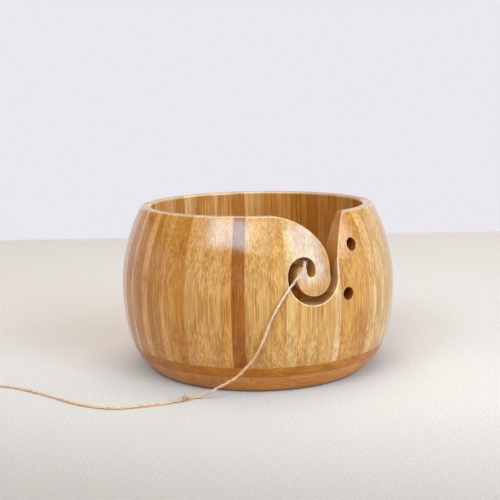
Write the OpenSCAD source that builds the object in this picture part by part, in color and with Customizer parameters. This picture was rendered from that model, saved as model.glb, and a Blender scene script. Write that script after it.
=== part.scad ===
// Yarn bowl of laminated bamboo, with a ball of jute twine inside and its strand
// led out through the spiral slot.
// The wall is a ring of upright bamboo strips glued edge to edge on a base of two
// plies, turned to a barrel outside and a straight cylinder inside.
// The slot faces -Y. The origin is the centre of the resting face. Millimetres, +Z up.

/* [Bowl] */
// Greatest outside diameter, at the belly
bowl_d = 150; // [146:1:156]
// Height from the resting face to the rim
bowl_h = 89.5; // [88:0.5:94]
// Diameter of the straight inside wall
inside_d = 116.4; // [110:0.2:118]
// Height of the belly
belly_z = 45; // [43:1:47]
// Radius of the wall's curve above the belly
crown_r = 91.5; // [88:0.5:100]
// Radius of the wall's curve below the belly
waist_r = 110; // [100:1:130]
// Radius of the curve that tucks in to the foot
foot_r = 40; // [36:1:42]
// Height at which the foot's curve starts
foot_z = 22; // [20:1:24]
// Radius of the rim's outer edge
rim_outer_r = 1; // [0.5:0.1:1.5]
// Radius of the rim's inner edge
rim_inner_r = 1.5; // [0.5:0.1:2]
// Radius of the cove between the inside wall and the floor
cove_r = 12; // [10:1:14]

/* [Base] */
// Thickness of the lower ply
lower_ply_t = 10; // [8:0.5:11]
// Thickness of the upper ply at its edge
upper_ply_t = 5.3; // [4:0.1:6]
// Depth that the floor is turned into the upper ply
floor_dish = 2; // [1:0.1:3]
// Radius of the lower ply's bottom edge
heel_r = 2; // [1:0.1:3]

/* [Spiral slot] */
// Width of the slot's winding part
slot_w = 4.4; // [4.2:0.1:4.8]
// Radius of the slot's middle line round the bottom of the hook
turn_1_r = 11.2; // [11:0.1:11.4]
// Radius of the slot's middle line over the hook's left side
turn_2_r = 6.3; // [6:0.1:6.5]
// Radius of the slot's middle line round the hook's tip
turn_3_r = 3.3; // [3.2:0.1:3.5]
// Angle at which the first turn ends and the second starts
turn_1_end = 161; // [158:1:164]
// Height of the first turn's centre
turn_1_z = 59.8; // [59:0.1:61]
// Length of the straight end inside the hook
slot_end_len = 2; // [1:0.1:3]
// Height of the hook's straight right side
hook_straight = 5.2; // [4:0.1:6]
// Radius of the hook's cheek, above the straight side
cheek_r = 20.5; // [20:0.1:21]
// Radius of the hook's shoulder, where it meets the rim
shoulder_r = 30; // [29:0.5:32]
// Radius of the lead-in's right side
lead_in_r = 55; // [50:1:60]
// Radius of the corner between the lead-in and the rim
lead_in_corner_r = 2.5; // [1:0.5:3]

/* [Needle holes] */
// Diameter of the two holes
hole_d = 6.3; // [5:0.1:6.5]
// Angle of the upper hole from the slot
upper_hole_deg = 20.7; // [20.5:0.1:21.5]
// Height of the upper hole
upper_hole_z = 73.6; // [70:0.1:75]
// Angle of the lower hole from the slot
lower_hole_deg = 15.6; // [15.6:0.1:20]
// Height of the lower hole
lower_hole_z = 50; // [45:0.1:55]

/* [Twine] */
// Diameter of the ball of twine
ball_d = 56; // [50:1:56]
// Diameter of the twine
twine_d = 1.4; // [1:0.1:1.6]

/* [Hidden] */
$fn = 180;
eps = 0.01;
bowl_r = bowl_d / 2;
inside_r = inside_d / 2;
base_t = lower_ply_t + upper_ply_t;
floor_z = base_t - floor_dish;

// Widths of the wall strips, in degrees round the bowl, from the joint at
// first_joint and on towards +X. The last strip closes the ring.
first_joint = -84;
strip_widths = [
    3, 6.5, 4.5, 3, 4, 4, 4.5, 3.5, 4, 12, 3.5, 5, 10, 5.5, 4.5, 4, 4, 7.5, 3, 15,
    6, 8, 6, 8, 6, 10, 7, 9, 6, 12, 7, 8, 11, 6, 9, 8, 12, 7, 9, 6, 10, 8, 7, 11, 6, 9,
    7, 10, 6, 8];
function total(list, n) = n <= 0 ? 0 : list[n - 1] + total(list, n - 1);
last_width = 360 - total(strip_widths, len(strip_widths));
widths = concat(strip_widths, [last_width]);
joints = [for (i = [0 : len(widths) - 1]) first_joint + total(widths, i)];
strip_names = [for (i = [0 : len(widths) - 1]) str("wall_strip_", i < 9 ? "0" : "", i + 1)];

// The strips' tones, as they follow each other round the bowl
honey = "#d9ab6a";
straw = "#e3c08a";
tan_tone = "#c98f52";
caramel = "#a2622a";
tones = [
    straw, tan_tone, straw, tan_tone, tan_tone, straw, tan_tone, tan_tone, honey, honey,
    tan_tone, caramel, honey, honey, straw, straw, straw, honey, straw, tan_tone,
    straw, straw, straw, straw, honey, straw, tan_tone, tan_tone, tan_tone, tan_tone,
    tan_tone, tan_tone, tan_tone, tan_tone, tan_tone, tan_tone, honey, tan_tone, tan_tone, honey,
    tan_tone, straw, tan_tone, straw, tan_tone, straw, tan_tone, honey, tan_tone, straw, tan_tone];

// Centres of the arcs of the outside outline, as [radius, height]
crown_c = [bowl_r - crown_r, belly_z];
waist_c = [bowl_r - waist_r, belly_z];
foot_joint = [waist_c.x + sqrt(waist_r ^ 2 - (belly_z - foot_z) ^ 2), foot_z];
foot_c = foot_joint - foot_r / waist_r * (foot_joint - waist_c);

// Centres of the slot's turns, in the plane of the slot
turn_1_c = [0.7, turn_1_z];
turn_2_c = turn_1_c + (turn_1_r - turn_2_r) * [cos(turn_1_end), sin(turn_1_end)];
turn_3_c = turn_2_c + (turn_2_r - turn_3_r) * [0, 1];
hook_x = turn_1_c.x + turn_1_r - slot_w / 2;
lead_in_x = turn_1_c.x + turn_1_r + slot_w / 2;
cheek_c = [hook_x - cheek_r, turn_1_z + hook_straight];
// The shoulder's arc passes just over the rim, so that the two meet in a clean edge.
shoulder_over = 0.15;
shoulder_z = bowl_h + shoulder_over - shoulder_r;
cheek_end = asin((cheek_c.y - shoulder_z) / (shoulder_r - cheek_r));
shoulder_c = [cheek_c.x - (shoulder_r - cheek_r) * cos(cheek_end), shoulder_z];
lead_in_c = [lead_in_x + lead_in_r, turn_1_z];
corner_z = bowl_h - lead_in_corner_r;
corner_c = [lead_in_c.x - sqrt((lead_in_r - lead_in_corner_r) ^ 2
                               - (corner_z - turn_1_z) ^ 2), corner_z];
corner_end = atan2(corner_c.y - lead_in_c.y, corner_c.x - lead_in_c.x);
cut_top = bowl_h + 6;
// Strips whose middle lies within this angle of the slot are cut by it.
slot_reach = 32;

// The ball rests on the floor, with the clearance of a part that turns.
ball_gap = 0.3;
ball_c = [-4, 8, floor_z + ball_gap + ball_d / 2];

// The strand's route: off the ball, through the slot over the hook's tip, down the
// wall, and along the table.
route = [
    [-4, -3, 68.5], [-3.6, -10, 66.3], [-2.9, -18, 64.7], [-2.2, -27, 63.8],
    [-1.5, -35, 63.9], [-0.8, -42, 64.8], [-0.4, -49, 66.2], [-0.3, -56, 67.2],
    [-0.8, -63, 67.3], [-2.2, -68.5, 67.3], [-3.8, -72.3, 66.6], [-5.3, -74.6, 65.1],
    [-7.1, -75.3, 62.8], [-9.6, -75.2, 60.2], [-12.2, -74.8, 57], [-15.2, -74.3, 52.9],
    [-18, -73.8, 48.5], [-21, -73.2, 43.3], [-23.8, -72.8, 37], [-25.5, -72, 32],
    [-27.4, -70.8, 27], [-30, -68.8, 21.4], [-33, -67, 17.2], [-36, -64.8, 13.2],
    [-40, -62.1, 9.5], [-44.6, -59.2, 6.5], [-49, -56.3, 3.4], [-53, -53.9, 1.2],
    [-58, -53.2, 0.8], [-64.5, -55, 0.8], [-72, -55.8, 0.8], [-80, -55, 0.8],
    [-89, -54.6, 0.8], [-97, -52.4, 0.8], [-105, -46, 0.8], [-111.5, -38, 0.8],
    [-120, -23.4, 0.8], [-128.8, -8.6, 0.8], [-138.5, 3.9, 0.8], [-151, 12, 0.8]];
// Rings between two points of the route
rings_per_step = 2;
tube_sides = 8;

// ---------- outlines, in the plane of [radius, height] ----------

// What is left outside an edge of radius r about centre c, between angles a0 and a1
module edge_round(c, r, a0, a1) {
    far = 2.2 * r;
    difference() {
        polygon([c, for (a = [a0, (a0 + a1) / 2, a1]) c + far * [cos(a), sin(a)]]);
        translate(c) circle(r);
    }
}

module outside_outline() {
    heel_c = [foot_c.x + sqrt((foot_r - heel_r) ^ 2 - (foot_c.y - heel_r) ^ 2), heel_r];
    rim_c = [crown_c.x + sqrt((crown_r - rim_outer_r) ^ 2
                              - (bowl_h - rim_outer_r - belly_z) ^ 2), bowl_h - rim_outer_r];
    difference() {
        union() {
            intersection() {
                translate(crown_c) circle(crown_r);
                translate([0, belly_z]) square([bowl_r, bowl_h - belly_z]);
            }
            intersection() {
                translate(waist_c) circle(waist_r);
                translate([0, foot_z]) square([bowl_r, belly_z - foot_z]);
            }
            intersection() {
                translate(foot_c) circle(foot_r);
                square([bowl_r, foot_z]);
            }
            square([foot_c.x, foot_z]);
        }
        edge_round(rim_c, rim_outer_r,
            atan2(rim_c.y - crown_c.y, rim_c.x - crown_c.x), 90);
        edge_round(heel_c, heel_r,
            -90, atan2(heel_c.y - foot_c.y, heel_c.x - foot_c.x));
    }
}

module inside_outline() {
    translate([0, floor_z + cove_r]) square([inside_r, bowl_h]);
    translate([0, floor_z]) square([inside_r - cove_r, cove_r + eps]);
    intersection() {
        translate([inside_r - cove_r, floor_z + cove_r]) circle(cove_r);
        translate([inside_r - cove_r - eps, floor_z]) square([cove_r + 2 * eps, cove_r + eps]);
    }
}

module wall_outline() {
    difference() {
        outside_outline();
        inside_outline();
        square([bowl_r, base_t]);
        edge_round([inside_r + rim_inner_r, bowl_h - rim_inner_r], rim_inner_r, 90, 180);
    }
}

// ---------- the spiral slot, in the plane across which it is cut ----------

// Points along an arc, without its end. They are at most 2 mm and 15 degrees apart.
function arc(c, r, a0, a1) =
    let (sweep = abs(a1 - a0), n = max(ceil(sweep / 15), ceil(sweep * PI / 180 * r / 2)))
    [for (k = [0 : n - 1]) let (a = a0 + (a1 - a0) * k / n) c + r * [cos(a), sin(a)]];

module slot_outline() {
    half = slot_w / 2;
    end_c = turn_3_c + [turn_3_r, -slot_end_len];
    round_down = turn_1_end - 360;
    polygon(concat(
        [[corner_c.x, cut_top]],
        arc(corner_c, lead_in_corner_r, 90, corner_end),
        arc(lead_in_c, lead_in_r, corner_end, 180),
        arc(turn_1_c, turn_1_r + half, 0, round_down),
        arc(turn_2_c, turn_2_r + half, turn_1_end, 90),
        arc(turn_3_c, turn_3_r + half, 90, 0),
        [turn_3_c + [turn_3_r + half, 0]],
        arc(end_c, half, 0, -180),
        [end_c - [half, 0]],
        arc(turn_3_c, turn_3_r - half, 0, 90),
        arc(turn_2_c, turn_2_r - half, 90, turn_1_end),
        arc(turn_1_c, turn_1_r - half, round_down, 0),
        [[hook_x, turn_1_z]],
        arc(cheek_c, cheek_r, 0, cheek_end),
        arc(shoulder_c, shoulder_r, cheek_end, 90),
        [[shoulder_c.x, cut_top]]));
}

module slot_cut() {
    rotate([90, 0, 0]) translate([0, 0, inside_r / 2]) linear_extrude(bowl_r) slot_outline();
}

// A round hole square through the wall, at an angle from the slot
module needle_hole(deg, z) {
    rotate([0, 0, deg - 90]) translate([inside_r / 2, 0, z]) rotate([0, 90, 0])
        cylinder(d = hole_d, h = bowl_r);
}

// ---------- the pieces ----------

// One upright strip of the wall, cut by the slot and the holes where it meets them
module wall_strip(i) {
    near_slot = abs(joints[i] + widths[i] / 2) < slot_reach;
    color(tones[i]) difference() {
        rotate([0, 0, joints[i] - 90]) rotate_extrude(angle = widths[i]) wall_outline();
        if (near_slot) {
            slot_cut();
            needle_hole(upper_hole_deg, upper_hole_z);
            needle_hole(lower_hole_deg, lower_hole_z);
        }
    }
}

module base_upper_ply() {
    color(caramel) rotate_extrude() difference() {
        outside_outline();
        inside_outline();
        square([bowl_r, lower_ply_t]);
        translate([0, base_t]) square([bowl_r, bowl_h]);
    }
}

module base_lower_ply() {
    color(tan_tone) rotate_extrude() intersection() {
        outside_outline();
        square([bowl_r, lower_ply_t]);
    }
}

module twine_ball() {
    color("#cdb083") translate(ball_c) sphere(d = ball_d);
}

// A point between p1 and p2 on the smooth curve through four points of the route
function smooth(p0, p1, p2, p3, t) =
    0.5 * (2 * p1 + (p2 - p0) * t + (2 * p0 - 5 * p1 + 4 * p2 - p3) * t ^ 2
           + (3 * p1 - p0 - 3 * p2 + p3) * t ^ 3);
function unit(v) = v / norm(v);

module twine_strand() {
    n = len(route);
    curve = concat([for (i = [0 : n - 2]) for (k = [0 : rings_per_step - 1])
        smooth(route[max(i - 1, 0)], route[i], route[i + 1], route[min(i + 2, n - 1)],
               k / rings_per_step)], [route[n - 1]]);
    m = len(curve);
    along = [for (i = [0 : m - 1]) unit(curve[min(i + 1, m - 1)] - curve[max(i - 1, 0)])];
    side = [for (i = 0, v = unit(cross(along[0], [1, 0, 0])); i < m; i = i + 1,
             v = i < m ? unit(v - (v * along[i]) * along[i]) : v) v];
    points = [for (i = [0 : m - 1]) for (k = [0 : tube_sides - 1])
        let (a = 360 * k / tube_sides, w = cross(along[i], side[i]))
        curve[i] + twine_d / 2 * (cos(a) * side[i] + sin(a) * w)];
    walls = [for (i = [0 : m - 2]) for (k = [0 : tube_sides - 1])
        let (a = i * tube_sides + k, b = i * tube_sides + (k + 1) % tube_sides)
        [a, a + tube_sides, b + tube_sides, b]];
    ends = [[for (k = [0 : tube_sides - 1]) k],
            [for (k = [0 : tube_sides - 1]) m * tube_sides - 1 - k]];
    color("#d8c39c") polyhedron(points, concat(walls, ends), convexity = 10);
}

for (i = [0 : len(widths) - 1])
    wall_strip(i);
base_upper_ply();
base_lower_ply();
twine_ball();
twine_strand();
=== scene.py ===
import math
import random

import bmesh
import bpy
import numpy as np
from mathutils import Matrix, Vector
from mathutils.geometry import delaunay_2d_cdt


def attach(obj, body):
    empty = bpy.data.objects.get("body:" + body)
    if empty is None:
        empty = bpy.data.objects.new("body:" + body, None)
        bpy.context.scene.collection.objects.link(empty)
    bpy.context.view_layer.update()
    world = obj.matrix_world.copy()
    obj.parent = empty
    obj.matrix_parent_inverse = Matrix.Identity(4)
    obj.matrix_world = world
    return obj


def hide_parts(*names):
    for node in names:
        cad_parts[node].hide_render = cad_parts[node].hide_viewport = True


# A yarn bowl of laminated bamboo with a ball of jute twine. Lengths are in millimetres
# until a mesh is made, and in metres from then on. The slot faces -Y.
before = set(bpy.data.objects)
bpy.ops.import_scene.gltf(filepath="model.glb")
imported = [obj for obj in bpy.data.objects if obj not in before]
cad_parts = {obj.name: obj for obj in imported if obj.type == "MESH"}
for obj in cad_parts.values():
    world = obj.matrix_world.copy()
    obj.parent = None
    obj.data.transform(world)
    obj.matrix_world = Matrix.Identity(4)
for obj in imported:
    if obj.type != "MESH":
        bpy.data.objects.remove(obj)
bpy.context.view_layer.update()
scene = bpy.context.scene
MM = 0.001


# ---------------------------------------------------------------- small helpers
def make_mesh(name, verts, faces):
    """A mesh object from points in millimetres."""
    me = bpy.data.meshes.new(name)
    me.from_pydata([tuple(v) for v in np.asarray(verts) * MM], [], [tuple(f) for f in faces])
    me.update()
    ob = bpy.data.objects.new(name, me)
    scene.collection.objects.link(ob)
    return ob


def smooth_all(me):
    me.polygons.foreach_set("use_smooth", [True] * len(me.polygons))
    me.update()


def unit(v):
    v = np.asarray(v, float)
    return v / np.maximum(np.linalg.norm(v, axis=-1, keepdims=True), 1e-12)


def catmull(points, per_step):
    """Points of a smooth curve through the given ones, per_step to each stretch."""
    p = np.asarray(points, float)
    n = len(p)
    out = []
    for i in range(n - 1):
        a, b, c, d = p[max(i - 1, 0)], p[i], p[i + 1], p[min(i + 2, n - 1)]
        for k in range(per_step):
            t = k / per_step
            out.append(0.5 * (2 * b + (c - a) * t + (2 * a - 5 * b + 4 * c - d) * t * t
                              + (3 * b - a - 3 * c + d) * t ** 3))
    out.append(p[-1])
    return np.array(out)


def even(points, step):
    """The same line with points an even step apart."""
    p = np.asarray(points, float)
    s = np.concatenate([[0], np.cumsum(np.linalg.norm(np.diff(p, axis=0), axis=1))])
    n = max(2, int(round(s[-1] / step)) + 1)
    t = np.linspace(0, s[-1], n)
    return np.stack([np.interp(t, s, p[:, k]) for k in range(3)], 1), t


def tube_faces(rings, sides, closed=False):
    """Quads between rings of points that follow one another. A closed tube meets its start."""
    return [(i * sides + j, i * sides + (j + 1) % sides,
             (i + 1) % rings * sides + (j + 1) % sides, (i + 1) % rings * sides + j)
            for i in range(rings if closed else rings - 1) for j in range(sides)]


def end_caps(rings, sides):
    last = (rings - 1) * sides
    return [tuple(range(sides))[::-1], tuple(range(last, last + sides))]


def ring_angles(sides):
    return np.arange(sides) * 2 * math.pi / sides


def ring_points(centre, radius, e1, e2, k):
    """Points at angles k round a centre, in the plane of two unit vectors."""
    return centre + np.outer(radius * np.cos(k), e1) + np.outer(radius * np.sin(k), e2)


def frames_along(p):
    """Unit tangents and two unit normals along a line, without twist."""
    t = unit(np.gradient(p, axis=0))
    side = unit(np.cross(t[0], [0.3, 0.9, 0.2]))
    u = []
    for k in range(len(p)):
        side = unit(side - (side @ t[k]) * t[k])
        u.append(side)
    u = np.array(u)
    return t, u, np.cross(t, u)


# ---------------------------------------------------------------- camera
cam = bpy.data.objects.new("camera", bpy.data.cameras.new("camera"))
scene.collection.objects.link(cam)
cam.data.sensor_width = 36
cam.data.lens = 68.4
cam.data.clip_start, cam.data.clip_end = 0.01, 20
eye, aim = Vector((-190.93, -486.02, 148.66)) * MM, Vector((-3.80, 1.46, 62.92)) * MM
turn = (aim - eye).to_track_quat("-Z", "Y").to_matrix().to_4x4()
cam.matrix_world = Matrix.Translation(eye) @ turn @ Matrix.Rotation(math.radians(-1.0), 4, "Z")
scene.camera = cam


# ---------------------------------------------------------------- materials
class Nodes:
    """A material's or light's node tree, built with calls that return the output socket."""

    def __init__(self, name, light=None):
        self.mat = light or bpy.data.materials.new(name)
        self.mat.use_nodes = True
        self.tree = self.mat.node_tree
        self.tree.nodes.clear()
        self.out = self.tree.nodes.new("ShaderNodeOutput" + ("Light" if light else "Material"))

    def add(self, kind, inputs=(), out=0, **props):
        n = self.tree.nodes.new("ShaderNode" + kind)
        for k, v in props.items():
            setattr(n, k, v)
        for k, v in dict(inputs).items():
            if isinstance(v, bpy.types.NodeSocket):
                self.tree.links.new(v, n.inputs[k])
            else:
                n.inputs[k].default_value = v
        self.last = n
        return n.outputs[out]

    def math(self, op, a, b=0.0, c=0.0, clamp=False):
        return self.add("Math", {0: a, 1: b, 2: c}, operation=op, use_clamp=clamp)

    def vec(self, op, a, b=(0, 0, 0)):
        return self.add("VectorMath", {0: a, 1: b}, operation=op)

    def place_mm(self):
        """The place on the object, in millimetres."""
        return self.vec("MULTIPLY", self.add("TexCoord", out=3), (1000, 1000, 1000))

    def ramp(self, value, lo, hi, to_lo=0.0, to_hi=1.0):
        return self.add("MapRange", {0: value, 1: lo, 2: hi, 3: to_lo, 4: to_hi},
                        interpolation_type="SMOOTHSTEP")

    def noise(self, vector, scale=1.0, detail=2.0, rough=0.5, distortion=0.0):
        return self.add("TexNoise", {"Vector": vector, "Scale": scale, "Detail": detail,
                                     "Roughness": rough, "Distortion": distortion})

    def mix(self, fac, a, b, blend="MIX"):
        n = self.tree.nodes.new("ShaderNodeMix")
        n.data_type, n.blend_type, n.clamp_factor = "RGBA", blend, True
        for k, v in ((0, fac), (6, a), (7, b)):
            if isinstance(v, bpy.types.NodeSocket):
                self.tree.links.new(v, n.inputs[k])
            else:
                n.inputs[k].default_value = v
        return n.outputs[2]

    def finish(self, shader):
        self.tree.links.new(shader, self.out.inputs[0])
        return self.mat


def rgb(code):
    """Linear colour from a hex code."""
    v = [int(code[i:i + 2], 16) / 255 for i in (1, 3, 5)]
    return [c / 12.92 if c <= 0.04045 else ((c + 0.055) / 1.055) ** 2.4 for c in v] + [1.0]


# What the fibres and the joints of bamboo multiply the strip's tone by, the painted shade that
# darkens the cut faces, holes and foot, and the painted highlight along the edges
PALE_FIBRE, DARK_FIBRE = (1.22, 1.32, 1.55, 1), (0.74, 0.58, 0.38, 1)
BUNDLE, GLUE_LINE = (0.58, 0.42, 0.24, 1), (0.45, 0.34, 0.24, 1)
PAINTED_CUT_SHADE, PAINTED_RECESS_SHADE = (0.88, 0.74, 0.56, 1), (0.38, 0.18, 0.06, 1)
SANDED_AND_PAINTED_HIGHLIGHT = "#f0d6b0"


def bamboo(name, along="Z", coat=0.95):
    """Lacquered bamboo whose fibres run along one axis. The tone, the seed and the place
    across the strip come from the mesh's own attributes."""
    m = Nodes(name)
    p = m.vec("ADD", m.place_mm(), m.add("Attribute", out=1, attribute_name="seed"))
    tone = m.add("Attribute", out=0, attribute_name="tone")

    def scaled(across, length):
        return m.vec("MULTIPLY", p, (length, across, across) if along == "X"
                     else (across, across, length))

    def tinted(colour, share, most, tint):
        """The colour, covered by the tinted tone by a share of at most the given one."""
        return m.mix(m.math("MULTIPLY", share, most), colour, m.mix(1.0, tone, tint, "MULTIPLY"))

    # The bundles are long rods. Where the turned surface runs along them they show as
    # streaks, and where it cuts them at an angle as short flecks.
    slow = m.noise(scaled(0.09, 0.032), detail=2)
    streak = m.noise(scaled(0.85, 0.014), detail=4, rough=0.68)
    fine = m.noise(scaled(2.4, 0.035), detail=3, rough=0.6)
    ripple = m.noise(scaled(0.9, 0.5), detail=3, rough=0.6, distortion=1.0)
    bundle = m.add("TexVoronoi", {"Vector": scaled(1.05, 0.028), "Scale": 1.0}, feature="F1")
    patch = m.noise(scaled(0.20, 0.030), detail=1)
    dash = m.math("MULTIPLY", m.ramp(bundle, 0.34, 0.22), m.ramp(patch, 0.38, 0.62, 0.40, 1.0))

    v = m.ramp(slow, 0.36, 0.64, -0.20, 0.20)
    v = m.math("ADD", v, m.ramp(streak, 0.36, 0.64, -0.30, 0.30))
    v = m.math("ADD", v, m.ramp(fine, 0.37, 0.63, -0.26, 0.26))
    v = m.math("ADD", v, m.ramp(ripple, 0.35, 0.65, -0.07, 0.07))
    light = m.mix(1.0, tone, PALE_FIBRE, "MULTIPLY")
    dark = m.mix(1.0, tone, DARK_FIBRE, "MULTIPLY")
    c = m.mix(m.math("ADD", v, 0.5, clamp=True), dark, light)
    c = tinted(c, dash, 0.80, BUNDLE)
    c = tinted(c, m.add("Attribute", out=2, attribute_name="joint"), 0.25, GLUE_LINE)
    # The edges are painted paler, partly for sanding and partly as a painted highlight where they
    # catch the light. The cut faces get painted shade, and the holes and the foot a deeper painted
    # shade.
    sanding_and_highlight = m.add("SeparateXYZ", {0: m.add("Attribute", out=1, attribute_name="sanding_cuts_and_painted_light")})
    sawn, recess_shade = m.last.outputs[1], m.last.outputs[2]
    c = m.mix(m.math("MULTIPLY", sanding_and_highlight, 0.42), c, rgb(SANDED_AND_PAINTED_HIGHLIGHT))
    c = tinted(c, sawn, 0.65, PAINTED_CUT_SHADE)
    c = tinted(c, recess_shade, 0.75, PAINTED_RECESS_SHADE)

    # The fibres show a little in the wood's surface, and less in the lacquer over it.
    h = m.math("ADD", m.math("MULTIPLY", fine, 0.5), m.math("MULTIPLY", dash, -0.6))
    bump = m.add("Bump", {"Strength": 0.5, "Distance": 0.06 * MM, "Height": h})
    skin = m.noise(p, scale=0.55, detail=3, rough=0.55)
    coat_h = m.math("ADD", m.math("MULTIPLY", skin, 0.35), m.math("MULTIPLY", streak, 0.5))
    coat_h = m.math("ADD", coat_h, m.math("MULTIPLY", h, 0.30))
    coat_n = m.add("Bump", {"Strength": 0.35, "Distance": 0.10 * MM, "Height": coat_h})
    rough = m.ramp(streak, 0.3, 0.7, 0.42, 0.55)
    s = m.add("BsdfPrincipled", {
        "Base Color": c, "Roughness": rough, "Normal": bump, "IOR": 1.45,
        "Specular IOR Level": 0.12, "Coat Weight": coat, "Coat Roughness": 0.09,
        "Coat IOR": 1.45, "Coat Normal": coat_n})
    return m.finish(s)


def jute(name, pale, brown, top=None):
    """Hairy natural jute: pale and brown fibres laid along the yarn. Where top is given, the pale
    fibres are painted lighter, towards that colour, where the yarn stands high: a painted
    highlight."""
    m = Nodes(name)
    mm = m.place_mm()
    lay = m.add("Attribute", out=1, attribute_name="lay")
    fibre = m.noise(m.vec("MULTIPLY", lay, (0.35, 7.0, 1.0)), detail=4, rough=0.65)
    patchy = m.noise(mm, scale=0.16, detail=3)
    pale = rgb(pale)
    if top:
        # Painted highlight: the yarn is lighter where it stands high.
        height = m.add("SeparateXYZ", {0: mm}, out=2)
        pale = m.mix(m.ramp(height, 24, 56), pale, rgb(top))
    c = m.mix(m.ramp(fibre, 0.34, 0.66), rgb(brown), pale)
    c = m.mix(m.ramp(patchy, 0.35, 0.7, 0.0, 0.45), c, rgb(brown))
    bump = m.add("Bump", {"Strength": 0.7, "Distance": 0.12 * MM, "Height": fibre})
    s = m.add("BsdfPrincipled", {"Base Color": c, "Roughness": 0.82, "Normal": bump,
                                 "Specular IOR Level": 0.25, "Sheen Weight": 0.35,
                                 "Sheen Roughness": 0.5})
    return m.finish(s)


# ---------------------------------------------------------------- the twine's strand
route = [
    [-4, -3, 68.5], [-3.6, -10, 66.3], [-2.9, -18, 64.7], [-2.2, -27, 63.8],
    [-1.5, -35, 63.9], [-0.8, -42, 64.8], [-0.4, -49, 66.2], [-0.3, -56, 67.2],
    [-0.8, -63, 67.3], [-2.2, -68.5, 67.3], [-3.8, -72.3, 66.6], [-5.3, -74.6, 65.1],
    [-7.1, -75.3, 62.8], [-9.6, -75.2, 60.2], [-12.2, -74.8, 57], [-15.2, -74.3, 52.9],
    [-18, -73.8, 48.5], [-21, -73.2, 43.3], [-23.8, -72.8, 37], [-25.5, -72, 32],
    [-27.4, -70.8, 27], [-30, -68.8, 21.4], [-33, -67, 17.2], [-36, -64.8, 13.2],
    [-40, -62.1, 9.5], [-44.6, -59.2, 6.5], [-49, -56.3, 3.4], [-53, -53.9, 1.2],
    [-58, -53.2, 0.8], [-64.5, -55, 0.8], [-72, -55.8, 0.8], [-80, -55, 0.8],
    [-89, -54.6, 0.8], [-97, -52.4, 0.8], [-105, -46, 0.8], [-111.5, -38, 0.8],
    [-120, -23.4, 0.8], [-128.8, -8.6, 0.8], [-138.5, 3.9, 0.8], [-151, 12, 0.8]]
# Behind its first point the strand dips in among the ball's windings.
tuck = [[-4.3, 9.5, 67.2], [-4.1, 5.5, 68.7], [-4, 1.2, 69.5]]
strand_line, strand_s = even(catmull(tuck + route, 12), 0.35)
jute_mat = jute("jute", "#f3bd8c", "#a8754a", top="#fde0bd")
ball_mat = jute("jute_ball", "#e8c79d", "#a87e52")


def ply_tube(line, dist, radius, offset, phase, pitch, sides, wobble, rng):
    """One twisted ply round a line, as points, faces and the lay of its fibres."""
    t, u, w = frames_along(line)
    n = len(line)
    a = phase + 2 * math.pi * dist / pitch
    lump = 1 + wobble * np.interp(dist, np.arange(0, dist[-1] + 3, 3),
                                  rng.uniform(-1, 1, int(dist[-1] / 3) + 2))
    centre = line + (offset * np.cos(a) * lump)[:, None] * u \
        + (offset * np.sin(a) * lump)[:, None] * w
    t2, _, _ = frames_along(centre)
    k = ring_angles(sides)
    pts, lay = [], []
    for i in range(n):
        e1 = unit(u[i] - (u[i] @ t2[i]) * t2[i])
        e2 = np.cross(t2[i], e1)
        r = radius * lump[i] * (1 + 0.10 * np.sin(3 * k + a[i] * 2.3))
        pts.append(ring_points(centre[i], r, e1, e2, k))
        lay.append(np.stack([np.full(sides, dist[i]), (k / (2 * math.pi) + dist[i] / 9) % 1 * 3,
                             np.full(sides, phase * 10)], 1))
    return np.concatenate(pts), tube_faces(n, sides) + end_caps(n, sides), np.concatenate(lay)


def join(parts):
    """Several (points, faces, lay) as one."""
    verts, faces, lays, n = [], [], [], 0
    for p, f, lay in parts:
        verts.append(p)
        lays.append(lay)
        faces += [tuple(i + n for i in q) for q in f]
        n += len(p)
    return np.concatenate(verts), faces, np.concatenate(lays)


HAIR_RINGS, HAIR_SIDES = 6, 3


def hairs(line, dist, count, rng, reach, thick=0.032, low=0.08, around=None):
    """Loose fibres that stand off a yarn, each a thin three-sided tapered tube. None dips
    under the height low. around gives the place on the line where they crowd, and how widely."""
    t, u, w = frames_along(line)
    parts = []
    for _ in range(count):
        i = rng.integers(2, len(line) - 3) if around is None else \
            min(max(int(rng.normal(*around)), 2), len(line) - 3)
        a = rng.uniform(0, 2 * math.pi)
        out = math.cos(a) * u[i] + math.sin(a) * w[i]
        length = rng.uniform(1.0, reach) * rng.uniform(0.5, 1.0)
        lean = t[i] * rng.uniform(-1.4, 1.4) + out * rng.uniform(0.5, 1.0)
        curl = rng.normal(0, 0.35, 3)
        steps = np.linspace(0, 1, HAIR_RINGS)
        p = line[i] + 0.4 * out + np.outer(steps * length, unit(lean)) \
            + np.outer(steps ** 2 * length, curl)
        p[:, 2] = np.maximum(p[:, 2], low)
        _, e1, e2 = frames_along(p)
        r = thick * (1 - 0.75 * steps)
        pts = np.concatenate([ring_points(p[j], r[j], e1[j], e2[j], ring_angles(HAIR_SIDES))
                              for j in range(HAIR_RINGS)])
        faces = tube_faces(HAIR_RINGS, HAIR_SIDES) + end_caps(HAIR_RINGS, HAIR_SIDES)
        parts.append((pts, faces, np.tile([dist[i], 1.5, 0.0], (len(pts), 1))))
    return parts


def yarn_object(name, parts, mat):
    verts, faces, lays = join(parts)
    ob = make_mesh(name, verts, faces)
    at = ob.data.attributes.new("lay", "FLOAT_VECTOR", "POINT")
    at.data.foreach_set("vector", lays.astype(np.float32).ravel())
    smooth_all(ob.data)
    ob.data.materials.append(mat)
    return ob


def nearest(point):
    """The number of the strand's point that is nearest to the one given."""
    return int(np.argmin(np.linalg.norm(strand_line - point, axis=1)))


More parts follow.
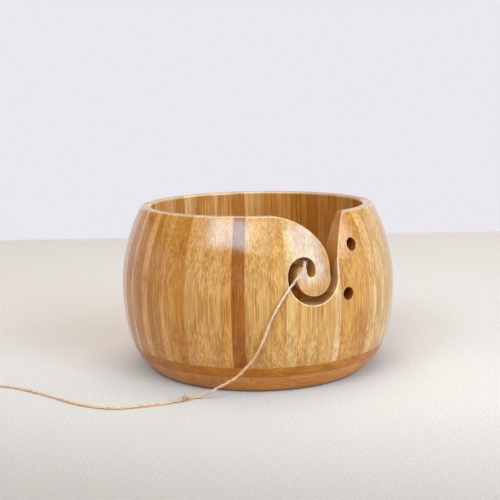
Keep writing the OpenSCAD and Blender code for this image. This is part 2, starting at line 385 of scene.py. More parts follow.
PLY_R, PLY_OFFSET, LAY_PITCH, PLY_SIDES, LUMPS = 0.39, 0.28, 8.0, 10, 0.16
rng = np.random.default_rng(7)
plies = [ply_tube(strand_line, strand_s, PLY_R, PLY_OFFSET, phase, LAY_PITCH, PLY_SIDES, LUMPS, rng)
         for phase in (0, math.pi)]
crest, slub, table = (nearest(p) for p in ((-3, -71.5, 66.6), (-60.5, -54, 0.8), (-100, -50, 0.8)))
fuzz = hairs(strand_line, strand_s, 750, rng, reach=2.4)
fuzz += hairs(strand_line, strand_s, 90, rng, reach=2.6, thick=0.045, around=(crest, 5))
fuzz += hairs(strand_line, strand_s, 240, rng, reach=2.8, thick=0.09, low=0.1, around=(slub, 6))
fuzz += hairs(strand_line, strand_s, 60, rng, reach=8, thick=0.05, around=(table, 130))
strand = yarn_object("strand", plies, jute_mat)
strand_fuzz = yarn_object("strand_fuzz", fuzz, jute_mat)
for ob in (strand, strand_fuzz):
    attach(ob, "bowl")
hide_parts("twine_strand")

# ---------------------------------------------------------------- the ball of twine
BALL_C = np.array([-4, 8, 41.6])
YARN_R, YARN_STEP, YARN_PITCH, YARN_SIDES = 0.72, 1.45, 5.0, 6


def ring_yarn(normal, offset, radius_at, pitch, sides, seed):
    """One turn of yarn round the ball: a closed line at a slant, with a two-ply look."""
    n = unit(np.array(normal, float))
    a = unit(np.cross(n, [0.31, 0.17, 0.93]))
    b = np.cross(n, a)
    count = 120
    th = ring_angles(count)
    drift = 0.5 * np.sin(th * 2 + seed) + 0.25 * np.sin(th * 5 + seed * 3)
    off = offset + drift
    flat = np.sqrt(np.maximum(radius_at ** 2 - off ** 2, 4))
    line = BALL_C + np.outer(off, n) \
        + flat[:, None] * (np.outer(np.cos(th), a) + np.outer(np.sin(th), b))
    t = unit(np.roll(line, -1, 0) - np.roll(line, 1, 0))
    up = unit(line - BALL_C)
    side = np.cross(t, up)
    turns = max(3, round(2 * math.pi * flat.mean() / pitch))
    k = ring_angles(sides)
    pts, lay = [], []
    for i in range(count):
        r = YARN_R * (1 + 0.16 * np.cos(2 * (k - turns * th[i] - seed)))
        pts.append(ring_points(line[i], r, side[i], up[i], k))
        lay.append(np.stack([np.full(sides, th[i] * radius_at),
                             (k / (2 * math.pi) + turns * th[i] / 6.28) % 1 * 3,
                             np.full(sides, seed)], 1))
    return np.concatenate(pts), tube_faces(count, sides, closed=True), np.concatenate(lay)


ball_parts = []
rng = np.random.default_rng(11)
slants = [(0.9, 0.1, 0.35), (0.1, 0.95, 0.3), (-0.7, 0.6, 0.35), (0.6, 0.7, -0.3),
          (0.15, -0.2, 1.0), (0.8, -0.5, 0.4), (-0.3, 0.5, 0.85), (0.5, 0.25, 0.8),
          (0.97, 0.05, -0.1)]
# The first layers cover the ball, and each of the last ones is a narrower band over them.
FULL_LAYERS, FIRST_SHELL, LAST_SHELL = 5, 25.4, 27.25
for layer, slant in enumerate(slants):
    shell = FIRST_SHELL + (LAST_SHELL - FIRST_SHELL) * layer / (len(slants) - 1)
    wide = 17 if layer < FULL_LAYERS else 9 - (layer - FULL_LAYERS)
    shift = rng.uniform(-5, 5) if layer > 2 else 0
    for q in range(-wide, wide + 1):
        off = q * YARN_STEP + shift
        if abs(off) < shell - 2.5:
            ball_parts.append(ring_yarn(slant, off, shell + rng.uniform(-0.12, 0.12), YARN_PITCH,
                                        YARN_SIDES, rng.uniform(0, 6.28)))
ball = yarn_object("ball", ball_parts, ball_mat)
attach(ball, "ball")
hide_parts("twine_ball")

# ---------------------------------------------------------------- the wall's shape
BOWL_R, BOWL_H, INSIDE_R, BELLY_Z = 75.0, 89.5, 58.2, 45.0
CROWN_R, WAIST_R, FOOT_R, FOOT_Z = 91.5, 110.0, 40.0, 22.0
LOWER_T, UPPER_T, FLOOR_DISH, COVE_R, HEEL_R = 10.0, 5.3, 2.0, 12.0, 2.0
BASE_T = LOWER_T + UPPER_T
FLOOR_Z = BASE_T - FLOOR_DISH
crown_c = np.array([BOWL_R - CROWN_R, BELLY_Z])
waist_c = np.array([BOWL_R - WAIST_R, BELLY_Z])
foot_joint = np.array([waist_c[0] + math.sqrt(WAIST_R ** 2 - (BELLY_Z - FOOT_Z) ** 2), FOOT_Z])
foot_c = foot_joint - FOOT_R / WAIST_R * (foot_joint - waist_c)
cove_c = np.array([INSIDE_R - COVE_R, FLOOR_Z + COVE_R])


def outside(z):
    """Radius, slope dr/dz and outward normal (radial, up) of the outside at heights z."""
    z = np.asarray(z, float)
    cx = np.where(z >= BELLY_Z, crown_c[0], np.where(z >= FOOT_Z, waist_c[0], foot_c[0]))
    cz = np.where(z >= FOOT_Z, BELLY_Z, foot_c[1])
    rr = np.where(z >= BELLY_Z, CROWN_R, np.where(z >= FOOT_Z, WAIST_R, FOOT_R))
    dz = np.clip(z - cz, -rr * 0.999, rr * 0.999)
    dx = np.sqrt(rr ** 2 - dz ** 2)
    return cx + dx, -dz / dx, dx / rr, dz / rr


def inside(z):
    """The same for the inside wall, whose radial normal is turned outwards as well."""
    z = np.asarray(z, float)
    dz = np.clip(z - cove_c[1], -COVE_R * 0.999, 0)
    dx = np.sqrt(COVE_R ** 2 - dz ** 2)
    return cove_c[0] + dx, -dz / dx, dx / COVE_R, dz / COVE_R


def on_surface(surface, th, z):
    """Points and outward normals at angles th (radians from the slot, towards +X)."""
    r, _, nr, nz = surface(z)
    rad = np.stack([np.sin(th), -np.cos(th), np.zeros_like(th)], -1)
    return rad * r[..., None] + np.stack([0 * z, 0 * z, z], -1), rad * nr[..., None] \
        + np.stack([0 * z, 0 * z, nz], -1)


# The slot's outline across its plane, from the rim's right side round to its left
SLOT_W, T1_R, T2_R, T3_R, T1_END, T1_Z = 4.4, 11.2, 6.3, 3.3, 161.0, 59.8
END_LEN, HOOK_UP, CHEEK_R, SHOULDER_R, LEAD_R, CORNER_R = 2.0, 5.2, 20.5, 30.0, 55.0, 2.5
half = SLOT_W / 2
t1 = np.array([0.7, T1_Z])
t2 = t1 + (T1_R - T2_R) * np.array([math.cos(math.radians(T1_END)), math.sin(math.radians(T1_END))])
t3 = t2 + np.array([0, T2_R - T3_R])
hook_x, lead_x = t1[0] + T1_R - half, t1[0] + T1_R + half
cheek_c = np.array([hook_x - CHEEK_R, T1_Z + HOOK_UP])
shoulder_z = BOWL_H + 0.15 - SHOULDER_R
cheek_end = math.degrees(math.asin((cheek_c[1] - shoulder_z) / (SHOULDER_R - CHEEK_R)))
shoulder_c = np.array([
    cheek_c[0] - (SHOULDER_R - CHEEK_R) * math.cos(math.radians(cheek_end)), shoulder_z])
lead_c = np.array([lead_x + LEAD_R, T1_Z])
corner_z = BOWL_H - CORNER_R
corner_c = np.array([
    lead_c[0] - math.sqrt((LEAD_R - CORNER_R) ** 2 - (corner_z - T1_Z) ** 2), corner_z])
corner_end = math.degrees(math.atan2(corner_c[1] - lead_c[1], corner_c[0] - lead_c[0]))
rim_cross = math.degrees(math.asin((BOWL_H - shoulder_z) / SHOULDER_R))
end_c = t3 + np.array([T3_R, -END_LEN])


def arc(c, r, a0, a1, step=0.55, last=False):
    """Points of an arc from angle a0 to a1, with the last one left out unless asked for."""
    n = max(math.ceil(abs(a1 - a0) / 7), math.ceil(abs(math.radians(a1 - a0)) * r / step))
    a = np.radians(a0 + (a1 - a0) * np.arange(n + (1 if last else 0)) / n)
    return np.stack([c[0] + r * np.cos(a), c[1] + r * np.sin(a)], 1)


def straight(a, b, step=0.55):
    a, b = np.array(a, float), np.array(b, float)
    n = max(1, math.ceil(np.linalg.norm(b - a) / step))
    return a + (b - a) * (np.arange(n) / n)[:, None]


down = T1_END - 360
slot_line = np.concatenate([
    arc(corner_c, CORNER_R, 90, corner_end), arc(lead_c, LEAD_R, corner_end, 180),
    arc(t1, T1_R + half, 0, down), arc(t2, T2_R + half, T1_END, 90), arc(t3, T3_R + half, 90, 0),
    straight(t3 + [T3_R + half, 0], end_c + [half, 0]), arc(end_c, half, 0, -180),
    straight(end_c - [half, 0], t3 + [T3_R - half, 0]), arc(t3, T3_R - half, 0, 90),
    arc(t2, T2_R - half, 90, T1_END), arc(t1, T1_R - half, down, 0),
    straight([hook_x, T1_Z], cheek_c + [CHEEK_R, 0]), arc(cheek_c, CHEEK_R, 0, cheek_end),
    arc(shoulder_c, SHOULDER_R, cheek_end, rim_cross, last=True)])
slot_line[:, 1] = np.minimum(slot_line[:, 1], BOWL_H)


def slot_angles(surface):
    r = surface(slot_line[:, 1])[0]
    return np.arcsin(slot_line[:, 0] / r)


def rim_angles(th_slot, n):
    """Angles along the rim, from the slot's left side round the back to its right side."""
    th = th_slot[-1] + (th_slot[0] - 2 * math.pi - th_slot[-1]) * np.arange(1, n) / n
    # One point lies on the seam of the unrolled faces.
    th[np.argmin(np.abs(th + math.pi))] = -math.pi
    return th


RIM_N = 200
outline = []
for surface in (outside, inside):
    th = slot_angles(surface)
    th = np.concatenate([th, rim_angles(th, RIM_N)])
    outline.append(th)
outline_z = np.concatenate([slot_line[:, 1], np.full(RIM_N - 1, BOWL_H)])
# Rounding of the edges: more on the rim than in the slot, changing over a few millimetres
n_slot = len(slot_line)
span = np.concatenate([[0], np.cumsum(np.linalg.norm(np.diff(slot_line, axis=0), axis=1))])
near_rim = np.maximum(np.clip(1 - span / 6, 0, 1), np.clip(1 - (span[-1] - span) / 8, 0, 1))
near_rim = np.concatenate([near_rim, np.ones(RIM_N - 1)])
round_out = 0.62 + 0.10 * near_rim
round_in = 0.60 + 0.80 * near_rim ** 2


def hole_outline(surface, deg, z0, r0):
    a = np.radians(-np.arange(0, 360, 7.5))
    lateral, z = r0 * np.cos(a), z0 + r0 * np.sin(a)
    r = surface(z)[0]
    return math.radians(deg) + np.arcsin(lateral / r), z


def wrap(d):
    return (d + math.pi) % (2 * math.pi) - math.pi


def edge_section(th_o, z_o, th_i, z_i, d_o, d_i, steps=5):
    """Rings of points and normals from the outside face, round the cut's outer edge, through
    the wall and round its inner edge to the inside face. The outline is closed, with the
    material on its left as seen from outside."""
    rings = []
    e, n = [], []
    for surface, th, z in ((outside, th_o, z_o), (inside, th_i, z_i)):
        p, nn = on_surface(surface, th, z)
        e.append(p)
        n.append(nn)
    ruling = unit(e[1] - e[0])
    offs = []
    for surface, th, z, p, nn, d in ((outside, th_o, z_o, e[0], n[0], d_o),
                                     (inside, th_i, z_i, e[1], n[1], d_i)):
        t = unit(unit(np.roll(p, -1, 0) - p) + unit(p - np.roll(p, 1, 0)))
        into = unit(np.cross(nn, t))
        r, slope, _, _ = surface(z)
        e_th = np.stack([np.cos(th), np.sin(th), 0 * th], -1)
        e_m = unit(np.stack([np.sin(th) * slope, -np.cos(th) * slope, 1 + 0 * th], -1))
        dth = d * (into * e_th).sum(-1) / r
        dz = d * (into * e_m).sum(-1) / np.sqrt(1 + slope ** 2)
        offs.append((th + dth, z + dz))
        if surface is outside:
            wall_n = unit(np.cross(t, ruling))
            wall_n *= -np.sign((wall_n * into).sum(-1))[:, None]
    a_o, na_o = on_surface(outside, *offs[0])
    a_i, na_i = on_surface(inside, *offs[1])
    b_o, b_i = e[0] + ruling * np.asarray(d_o)[:, None], e[1] - ruling * np.asarray(d_i)[:, None]
    for k in range(steps + 1):
        s = k / steps
        rings.append(((1 - s) ** 2 * a_o + 2 * s * (1 - s) * e[0] + s * s * b_o,
                      unit((1 - s) * na_o + s * wall_n)))
    for k in range(steps, -1, -1):
        s = k / steps
        rings.append(((1 - s) ** 2 * a_i + 2 * s * (1 - s) * e[1] + s * s * b_i,
                      unit((1 - s) * -na_i + s * wall_n)))
    return rings, offs


cuts = [edge_section(outline[0], outline_z, outline[1], outline_z, round_out, round_in)]
HOLES, HOLE_R, HOLE_SOFT = ((20.7, 73.6), (15.6, 50.0)), 3.15, 0.5
for deg, z0 in HOLES:
    o, i = hole_outline(outside, deg, z0, HOLE_R), hole_outline(inside, deg, z0, HOLE_R)
    soft = np.full(len(o[0]), HOLE_SOFT)
    cuts.append(edge_section(*o, *i, soft, soft, steps=4))

skin_p, skin_n, skin_w, skin_f = [], [], [], []


def add_skin(points, normals, faces, sanding_cuts_and_painted_light=None):
    """Adds points and faces to the wall's skin. The last argument holds, for each point, its share
    of sanding and painted highlight along an edge, whether it is on a cut face, and its share of
    painted shade in a hole."""
    base = sum(len(p) for p in skin_p)
    skin_w.append(np.zeros((len(points), 3)) if sanding_cuts_and_painted_light is None else sanding_cuts_and_painted_light)
    skin_p.append(np.asarray(points))
    skin_n.append(np.asarray(normals))
    skin_f.extend(tuple(int(i) + base for i in f) for f in faces)


for number, (rings, _) in enumerate(cuts):
    m = len(rings[0][0])
    # How far each ring is round its edge: 0 on the face, 1 on the cut
    turned_in = np.arange(len(rings) // 2) / (len(rings) // 2 - 1)
    turned_in = np.concatenate([turned_in, turned_in[::-1]])[:, None] * np.ones(m)
    sawn = np.where(np.arange(m) < n_slot, 1.0, 0.0) if number == 0 else np.ones(m)
    # The slot's edges get the most sanding and painted highlight, the rim's less, and the holes'
    # none. The holes' walls get painted shade.
    sanding_highlight_share = np.where(np.arange(m) < n_slot, 1.0, 0.65) if number == 0 else np.zeros(m)
    sanding_cuts_light = np.stack([4 * turned_in * (1 - turned_in) * sanding_highlight_share, turned_in * sawn,
                     turned_in * (number > 0)], -1)
    pts = np.concatenate([r[0] for r in rings])
    nrm = np.concatenate([r[1] for r in rings])
    add_skin(pts, nrm, tube_faces(len(rings), m), sanding_cuts_light.reshape(-1, 3))

GRID_DEG, GRID_Z, SIDE_N = 2.4, 2.3, 31
BOTTOM = np.radians(np.arange(-180, 180.01, GRID_DEG))


def in_polygon(q, poly):
    """True for each point of q inside the closed polygon."""
    x, y = q[:, 0][:, None], q[:, 1][:, None]
    x0, y0 = poly[:, 0][None], poly[:, 1][None]
    x1, y1 = np.roll(x0, -1), np.roll(y0, -1)
    cross = (y0 > y) != (y1 > y)
    at = x0 + (y - y0) * (x1 - x0) / np.where(y1 == y0, 1e-9, y1 - y0)
    return ((cross & (x < at)).sum(1) % 2) == 1


def in_face(q, loops):
    """True for each point of q inside the first loop and outside all the others."""
    ok = in_polygon(q, loops[0])
    for lp in loops[1:]:
        ok &= ~in_polygon(q, lp)
    return ok


def face_mesh(surface, side, flat_r):
    """The outside or inside face: a fine mesh that meets the rounded edges' first rings. It is
    meshed unrolled flat, at the radius flat_r."""
    th, z = cuts[0][1][side]
    # The rim's angles run below -180 degrees; those are brought back round.
    keep = np.where(th < -math.pi, th + 2 * math.pi, th)
    order = np.argsort(-keep[n_slot:])
    rim = np.stack([keep[n_slot:][order], z[n_slot:][order]], 1)
    slot = np.stack([th[:n_slot], z[:n_slot]], 1)
    right = rim[rim[:, 0] > slot[0, 0] - 1e-9]
    left = rim[rim[:, 0] < slot[-1, 0] + 1e-9]
    right = right[right[:, 0] > slot[:, 0].max() - 0.2]
    z_rim = z[n_slot + RIM_N // 2]
    top = np.concatenate([[[math.pi, z_rim]], right, slot, left, [[-math.pi, z_rim]]])
    zs = np.linspace(BASE_T, z_rim, SIDE_N)[1:-1]
    bottom = np.stack([BOTTOM, np.full(len(BOTTOM), BASE_T)], 1)
    left_side = np.stack([np.full(len(zs), -math.pi), zs[::-1]], 1)
    right_side = np.stack([np.full(len(zs), math.pi), zs], 1)
    border = np.concatenate([top, left_side, bottom, right_side])
    loops = [border * [flat_r, 1]]
    for c in cuts[1:]:
        th_h, z_h = c[1][side]
        loops.append(np.stack([th_h * flat_r, z_h], 1))
    pts, edges, n = [], [], 0
    for lp in loops:
        pts.append(lp)
        edges += [(n + k, n + (k + 1) % len(lp)) for k in range(len(lp))]
        n += len(lp)
    fixed = np.concatenate(pts)
    gx, gz = np.meshgrid(np.arange(-180 + GRID_DEG / 2, 179, GRID_DEG) * math.pi / 180 * flat_r,
                         np.arange(17, 89, GRID_Z))
    grid = np.stack([gx.ravel(), gz.ravel()], 1)
    grid = grid[in_face(grid, loops)]
    far = np.array([np.min(np.sum((fixed - g) ** 2, 1)) for g in grid]) > 0.8 ** 2
    allp = np.concatenate([fixed, grid[far]])
    v, _, f, _, _, _ = delaunay_2d_cdt([Vector(p) for p in allp], edges, [], 0, 1e-5)
    v = np.array([tuple(q) for q in v])
    tri = np.array([t for t in f if len(t) == 3])
    tri = tri[in_face(v[tri].mean(1), loops)]
    p, nn = on_surface(surface, v[:, 0] / flat_r, v[:, 1])
    add_skin(p, nn if side == 0 else -nn, tri)


face_mesh(outside, 0, 70.0)
face_mesh(inside, 1, INSIDE_R)
# The wall's underside, glued to the base
m = len(BOTTOM)
p_out, _ = on_surface(outside, BOTTOM, np.full(m, BASE_T))
p_in, _ = on_surface(inside, BOTTOM, np.full(m, BASE_T))
add_skin(np.concatenate([p_out, p_in]), np.tile([0, 0, -1.0], (2 * m, 1)),
         [(k, k + 1, m + k + 1, m + k) for k in range(m - 1)])

P, NRM, SANDING_CUTS_AND_PAINTED_LIGHT = np.concatenate(skin_p), np.concatenate(skin_n), np.concatenate(skin_w)
# Weld the pieces of the skin, on a grid whose lines miss the round numbers that points often
# lie at. A point keeps the normal it was first given.
WELD = 0.002
key = np.floor(P / WELD + 0.137).astype(np.int64)
_, first, back = np.unique(key, axis=0, return_index=True, return_inverse=True)
back = back.ravel()
P, NRM, SANDING_CUTS_AND_PAINTED_LIGHT = P[first], NRM[first], SANDING_CUTS_AND_PAINTED_LIGHT[first]
F = []
for f in skin_f:
    g = []
    for i in f:
        j = int(back[i])
        if j not in g:
            g.append(j)
    if len(g) >= 3:
        F.append(g)
# Which way round a face is wound is put right by its points' normals.
for g in F:
    a = P[g]
    fn = np.cross(a[1] - a[0], a[2] - a[0])
    if len(g) == 4:
        fn = fn + np.cross(a[2] - a[0], a[3] - a[0])
    if fn @ NRM[g].sum(0) < 0:
        g.reverse()

# ---------------------------------------------------------------- the strips
FIRST_JOINT = -84
widths = [3, 6.5, 4.5, 3, 4, 4, 4.5, 3.5, 4, 12, 3.5, 5, 10, 5.5, 4.5, 4, 4, 7.5, 3, 15,
          6, 8, 6, 8, 6, 10, 7, 9, 6, 12, 7, 8, 11, 6, 9, 8, 12, 7, 9, 6, 10, 8, 7, 11, 6, 9,
          7, 10, 6, 8]
widths.append(360 - sum(widths))
# Tone of each strip: cream is the palest, then straw, honey, amber, tan and caramel. Wheat
# looks like honey, and counts as straw in the record.
tones = ("straw tan wheat tan amber wheat amber tan honey honey amber caramel honey honey straw "
         "wheat straw honey cream amber straw straw straw straw honey straw amber tan amber amber "
         "tan amber tan tan amber tan honey tan amber honey amber straw amber straw amber "
         "straw tan honey amber straw tan").split()
PALETTE = {"cream": "#c49660", "straw": "#c08d4f", "wheat": "#ba803f", "honey": "#ba803f",
           "amber": "#b47630", "tan": "#aa681e", "caramel": "#914b03"}
upright = bamboo("bamboo_upright")
sawn_mat = bamboo("bamboo_sawn", coat=0.5)
lying = bamboo("bamboo_lying", along="X", coat=0.5)


def set_point(me, name, kind, values):
    at = me.attributes.new(name, kind, "POINT")
    field = {"FLOAT": "value", "FLOAT_VECTOR": "vector", "FLOAT_COLOR": "color"}[kind]
    at.data.foreach_set(field, np.asarray(values, np.float32).ravel())


def get_vectors(me, name):
    """A vector attribute of a mesh's points, one row for each."""
    rows = np.zeros(len(me.vertices) * 3, np.float32)
    me.attributes[name].data.foreach_get("vector", rows)
    return rows.reshape(-1, 3)


def skin_between(bm, mid, w):
    """Puts the part of the skin that reaches round the angles mid - w to mid + w into bm."""
    off = np.abs(wrap(angle - mid))
    pick = [g for g in F if off[g].min() < w + 0.12 and off[g].max() < 1.2]
    for layer in ("nrm", "sanding_cuts_and_painted_light"):
        bm.verts.layers.float_vector.new(layer)
    nrm_layer, sanding_cuts_light_layer = (bm.verts.layers.float_vector[n] for n in ("nrm", "sanding_cuts_and_painted_light"))
    made = {}
    for k in sorted({k for g in pick for k in g}):
        made[k] = bm.verts.new(P[k] * MM)
        made[k][nrm_layer] = Vector(NRM[k])
        made[k][sanding_cuts_light_layer] = Vector(SANDING_CUTS_AND_PAINTED_LIGHT[k])
    for g in pick:
        bm.faces.new([made[k] for k in g])
    bmesh.ops.remove_doubles(bm, verts=bm.verts[:], dist=5e-6)


def cut_flat(bm, mid, w):
    """Cuts bm off at the upright planes through the axis at mid - w and mid + w, and closes it
    there with flat faces. It gives the numbers of those faces."""
    caps = set()
    for a, sgn in ((mid - w, 1), (mid + w, -1)):
        # The plane's normal points into the strip.
        no = Vector((math.cos(a), math.sin(a), 0)) * sgn
        bmesh.ops.bisect_plane(bm, geom=bm.verts[:] + bm.edges[:] + bm.faces[:], dist=2e-7,
                               plane_co=(0, 0, 0), plane_no=no, clear_inner=True)
        rim = [e for e in bm.edges if e.is_boundary
               and all(abs(v.co.dot(no)) < 1e-6 for v in e.verts)]
        filled = bmesh.ops.triangle_fill(bm, edges=rim, use_beauty=True, normal=-no)
        for f in filled["geom"]:
            if isinstance(f, bmesh.types.BMFace):
                f.normal_update()
                if f.normal.dot(no) > 0:
                    f.normal_flip()
                caps.add(f)
    bm.faces.index_update()
    return {f.index for f in caps}


angle = np.arctan2(P[:, 0], -P[:, 1])
colour_rng = random.Random(5)
# Strips from this one on show only on the inside, and get a little painted sheen: more blue and
# less green. Those listed next get painted shade, a darker tone.
FIRST_INSIDE, PAINTED_SHADE_STRIPS = 26, range(28, 34)


def build_strip(i, start, width):
    """Makes strip i of the wall, and tells how many edges were left open."""
    mid, w = math.radians(start + width / 2), math.radians(width / 2)
    bm = bmesh.new()
    skin_between(bm, mid, w)
    flat = cut_flat(bm, mid, w)
    open_edges = sum(1 for e in bm.edges if not e.is_manifold)
    name = f"strip_{i + 1:02d}"
    me = bpy.data.meshes.new(name)
    bm.to_mesh(me)
    bm.free()
    ob = bpy.data.objects.new(name, me)
    scene.collection.objects.link(ob)

    normals = get_vectors(me, "nrm")
    me.attributes.remove(me.attributes["nrm"])
    smooth_all(me)
    loops = []
    for poly in me.polygons:
        pn = tuple(poly.normal)
        for v in poly.vertices:
            loops.append(pn if poly.index in flat else tuple(normals[v]))
    me.normals_split_custom_set([tuple(unit(np.array(q))) for q in loops])

    c = np.array(rgb(PALETTE[tones[i]]))
    c[:3] *= 1 + colour_rng.uniform(-0.05, 0.05)
    # Painted sheen on the inside strips, and painted shade on some of them
    if i >= FIRST_INSIDE:
        c[:3] *= (1.0, 0.96, 1.12)
    if i in PAINTED_SHADE_STRIPS:
        c[:3] *= 0.87
    seed = np.array([colour_rng.uniform(0, 500) for _ in range(3)])
    co = get_vectors(me, "position")
    off = np.abs(wrap(np.arctan2(co[:, 0], -co[:, 1]) - mid))
    set_point(me, "tone", "FLOAT_COLOR", np.tile(c, (len(co), 1)))
    set_point(me, "seed", "FLOAT_VECTOR", np.tile(seed, (len(co), 1)))
    set_point(me, "joint", "FLOAT", (off > w - 2e-4).astype(float))
    # The faces that a saw or drill left have less lacquer on them.
    me.materials.append(upright)
    me.materials.append(sawn_mat)
    sanding_cuts_light = get_vectors(me, "sanding_cuts_and_painted_light")
    for poly in me.polygons:
        if sanding_cuts_light[list(poly.vertices), 1].min() > 0.5:
            poly.material_index = 1
    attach(ob, "bowl")
    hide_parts(f"wall_strip_{i + 1:02d}")
    return open_edges


start = FIRST_JOINT
for i, width in enumerate(widths):
    left_open = build_strip(i, start, width)
    if left_open:
        print(f"strip {i + 1}: {left_open} open edges")
    start += width


# ---------------------------------------------------------------- the base's plies
def revolve(name, profile, normals, node, mat, tone):
    """A turned solid from a closed profile of (radius, height) that starts and ends on the
    axis, with the profile's own normals."""
    n = 240
    th = ring_angles(n)
    verts, faces, nrm, ring_of = [], [], [], []
    for (r, z), (nr, nz) in zip(profile, normals):
        if r < 1e-6:
            ring_of.append([len(verts)] * n)
            verts.append((0, 0, z))
            nrm.append((0, 0, nz))
        else:
            ring_of.append(list(range(len(verts), len(verts) + n)))
            for a in th:
                verts.append((r * math.cos(a), r * math.sin(a), z))
                nrm.append((nr * math.cos(a), nr * math.sin(a), nz))
    for k in range(len(profile) - 1):
        for j in range(n):
            j2 = (j + 1) % n
            q = (ring_of[k][j], ring_of[k][j2], ring_of[k + 1][j2], ring_of[k + 1][j])
            q = list(dict.fromkeys(q))
            if len(q) >= 3:
                faces.append(tuple(q))
    ob = make_mesh(name, verts, faces)
    me = ob.data
    smooth_all(me)
    me.normals_split_custom_set([tuple(unit(np.array(nrm[v])))
                                 for p in me.polygons for v in p.vertices])
    c = np.array(rgb(tone))
    set_point(me, "tone", "FLOAT_COLOR", np.tile(c, (len(verts), 1)))
    set_point(me, "seed", "FLOAT_VECTOR", np.tile([31.0, 17.0, 5.0], (len(verts), 1)))
    # The glue line shows. Under it the lower ply's top gets a painted highlight, and the foot a
    # dark painted shade where it meets the table.
    v = np.array(verts)
    outer = np.hypot(v[:, 0], v[:, 1]) > 50
    set_point(me, "joint", "FLOAT", (outer & (np.abs(v[:, 2] - LOWER_T) < 0.01)).astype(float))
    pale = np.clip((v[:, 2] - 5.5) / 4, 0, 1) * (v[:, 2] <= LOWER_T) * (node == "base_lower_ply")
    set_point(me, "sanding_cuts_and_painted_light", "FLOAT_VECTOR",
              np.stack([0.14 * pale * outer, 0 * pale, np.clip((2.4 - v[:, 2]) / 1.8, 0, 1)], -1))
    me.materials.append(mat)
    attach(ob, "bowl")
    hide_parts(node)


def turned(parts):
    """Joins stretches of (points, normals); at a corner the point is there twice, once with
    each normal, so that the corner stays crisp."""
    pts = [tuple(p) for part in parts for p in part[0]]
    nrm = [tuple(q) for part in parts for q in part[1]]
    return pts, nrm


def stretch(points, normal):
    return points, [normal] * len(points)


# Lower ply: flat bottom, rounded heel, the foot's curve, flat top
heel_c = np.array([
    foot_c[0] + math.sqrt((FOOT_R - HEEL_R) ** 2 - (foot_c[1] - HEEL_R) ** 2), HEEL_R])
heel_end = math.atan2(heel_c[1] - foot_c[1], heel_c[0] - foot_c[0])
a = np.linspace(-math.pi / 2, heel_end, 9)
heel = (np.stack([heel_c[0] + HEEL_R * np.cos(a), heel_c[1] + HEEL_R * np.sin(a)], 1),
        np.stack([np.cos(a), np.sin(a)], 1))
zz = np.linspace(heel[0][-1][1], LOWER_T, 12)
r, _, nr, nz = outside(zz)
side_low = (np.stack([r, zz], 1), np.stack([nr, nz], 1))
pts, nrm = turned([stretch([(0, 0), (30, 0), (heel_c[0], 0)], (0, -1)), heel, side_low,
                   stretch([(r[-1], LOWER_T), (30, LOWER_T), (0, LOWER_T)], (0, 1))])
revolve("base_low", pts, nrm, "base_lower_ply", lying, "#ba6f1e")

# Upper ply: flat underside, the foot's curve, the ledge under the wall, the cove and the floor
zz = np.linspace(LOWER_T, BASE_T, 7)
r, _, nr, nz = outside(zz)
side_up = (np.stack([r, zz], 1), np.stack([nr, nz], 1))
zi = np.array([BASE_T, 14.8, 14.4, 14.0, 13.7, 13.5, 13.4, 13.33, FLOOR_Z + 0.001])
ri, _, nri, nzi = inside(zi)
cove = (np.stack([ri, zi], 1), np.stack([-nri, -nzi], 1))
pts, nrm = turned([stretch([(0, LOWER_T), (30, LOWER_T), (r[0], LOWER_T)], (0, -1)), side_up,
                   stretch([(r[-1], BASE_T), (ri[0], BASE_T)], (0, 1)), cove,
                   stretch([(INSIDE_R - COVE_R, FLOOR_Z), (23, FLOOR_Z), (0, FLOOR_Z)], (0, 1))])
revolve("base_up", pts, nrm, "base_upper_ply", lying, "#a86210")

# ---------------------------------------------------------------- floor, background, light
m = Nodes("floor")
pos = m.place_mm()
weave = m.noise(pos, scale=0.9, detail=4, rough=0.6)
broad = m.noise(pos, scale=0.03, detail=2)
c = m.mix(m.ramp(weave, 0.3, 0.7), rgb("#bfb0a6"), rgb("#d3c6bc"))
c = m.mix(m.ramp(broad, 0.3, 0.7, 0.0, 0.25), c, rgb("#c7bab0"))
# Painted shade: it darkens towards the front and left.
front = m.add("VectorMath", {0: pos, 1: (0.59, 0.84, 0)}, out=1, operation="DOT_PRODUCT")
c = m.mix(m.ramp(front, -25, -290, 0.0, 0.95), c, rgb("#9a897f"))
bump = m.add("Bump", {"Strength": 0.6, "Distance": 0.0005, "Height": weave})
cloth = m.add("BsdfPrincipled", {"Base Color": c, "Roughness": 0.95, "Normal": bump,
                                 "Specular IOR Level": 0.1})
# The table ends in a straight edge behind the bowl.
far = m.add("VectorMath", {0: pos, 1: (0.3584, 0.9336, 0)}, out=1, operation="DOT_PRODUCT")
clear = m.add("BsdfTransparent")
floor_mat = m.finish(m.add("MixShader", {0: m.ramp(far, 466, 484), 1: cloth, 2: clear}))
FLOOR_R, FLOOR_N = 2500, 96
ring = [(FLOOR_R * math.cos(a), FLOOR_R * math.sin(a), 0) for a in ring_angles(FLOOR_N)]
floor = make_mesh("floor", ring, [tuple(range(FLOOR_N))])
floor.data.materials.append(floor_mat)

WORLD = 0.09
world = bpy.data.worlds.new("studio")
scene.world = world
world.use_nodes = True
world.node_tree.nodes["Background"].inputs[0].default_value = (1, 1, 1, 1)
world.node_tree.nodes["Background"].inputs[1].default_value = WORLD
scene.view_settings.view_transform = "Standard"

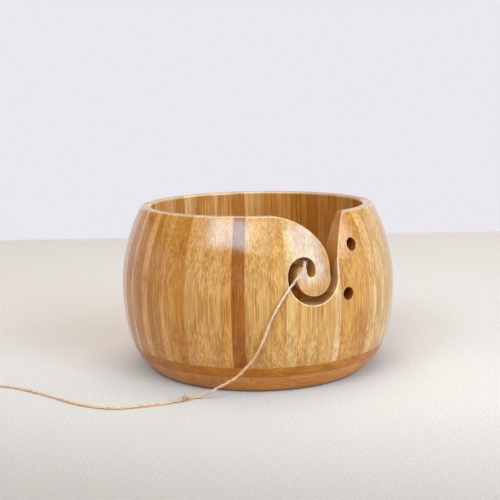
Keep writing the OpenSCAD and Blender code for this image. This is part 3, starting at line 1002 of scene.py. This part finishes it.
# A pale wall stands all round the set. It shows behind the bowl, and lights it from low down.
m = Nodes("backdrop")
wall_mat = m.finish(m.add("Emission", {"Color": (0.82, 0.81, 0.85, 1), "Strength": 1.0}))
WALL_R, WALL_LO, WALL_HI, WALL_N = 3000, -1300, 900, 96
verts = [(WALL_R * math.cos(a), WALL_R * math.sin(a), z)
         for z in (WALL_LO, WALL_HI) for a in ring_angles(WALL_N)]
backdrop = make_mesh("backdrop", verts, tube_faces(2, WALL_N))
backdrop.data.materials.append(wall_mat)


CAMERA_AZIMUTH = -21
TARGET = Vector((0, 0, 50)) * MM


def softbox(name, azimuth, elevation, distance, width, height, radiance, colour, soft):
    """A rectangular area light aimed at the bowl, which fades towards its edges over the soft
    share of its width and height. Sizes are in metres. Azimuth counts from the camera's side."""
    a, e = math.radians(azimuth + CAMERA_AZIMUTH), math.radians(elevation)
    at = Vector((math.sin(a) * math.cos(e), -math.cos(a) * math.cos(e), math.sin(e))) * distance
    at += TARGET
    data = bpy.data.lights.new(name, "AREA")
    data.shape, data.size, data.size_y = "RECTANGLE", width, height
    data.energy, data.color = radiance * math.pi * width * height, colour
    n = Nodes(name, data)
    place = n.add("SeparateXYZ", {0: n.add("NewGeometry", out=5)})
    fade = []
    for t in (place, n.last.outputs[1]):
        near = n.math("MINIMUM", t, n.math("SUBTRACT", 1.0, t))
        fade.append(n.ramp(near, 0.0, soft))
    n.finish(n.add("Emission", {"Strength": n.math("MULTIPLY", *fade)}))
    ob = bpy.data.objects.new(name, data)
    scene.collection.objects.link(ob)
    ob.location = at
    ob.rotation_euler = (TARGET - at).to_track_quat("-Z", "Y").to_euler()


COOL = (0.46, 0.84, 1.14)
softbox("box_left", -27, 38, 2.1, 1.75, 0.90, 9.4, COOL, soft=0.28)
softbox("panel_right", 43, 23, 2.2, 1.3, 2.0, 10.8, COOL, soft=0.25)
softbox("front_fill", -22, 45, 2.3, 3.0, 1.6, 2.35, (1.0, 0.93, 0.84), soft=0.05)
softbox("side_right", 80, 26, 1.6, 1.1, 1.1, 6.0, (1, 1, 1), soft=0.4)
softbox("top_fill", 0, 86, 2.3, 2.6, 2.6, 1.0, (1.0, 0.98, 0.95), soft=0.2)
softbox("top_back", 170, 72, 1.5, 1.4, 1.2, 2.4, (1.0, 0.94, 0.86), soft=0.05)
